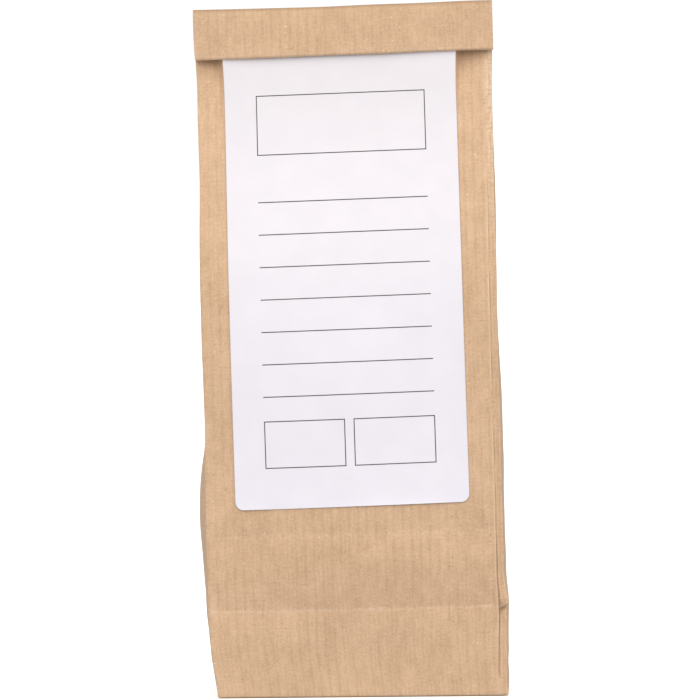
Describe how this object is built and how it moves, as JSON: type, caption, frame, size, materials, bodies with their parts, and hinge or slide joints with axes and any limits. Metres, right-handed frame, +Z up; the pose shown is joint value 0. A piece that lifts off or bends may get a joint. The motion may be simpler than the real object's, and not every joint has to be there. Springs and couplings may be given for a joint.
{
  "type": "filled kraft paper block-bottom bag with a rolled top",
  "caption": "Small upright brown kraft paper bag with a flat block bottom, side gussets and a rolled-down top, a plain white label on its front, filled with cut licorice root.",
  "frame": {"origin": "middle of the flat bottom, on the surface that the bag stands on", "axes": "+Z up, -Y towards the front that carries the label, +X to the right as seen from the front"},
  "size_m": [0.0727, 0.0461, 0.1618],
  "materials": {
    "brown_kraft_paper": "matte ribbed brown kraft paper",
    "white_label_paper": "smooth satin white label paper",
    "cut_root": "dry yellow fibrous root with brown bark"
  },
  "bodies": {
    "root": {"paper_bag": "brown_kraft_paper", "label": "white_label_paper", "cut_licorice_root": "cut_root"}
  },
  "joints": []
}
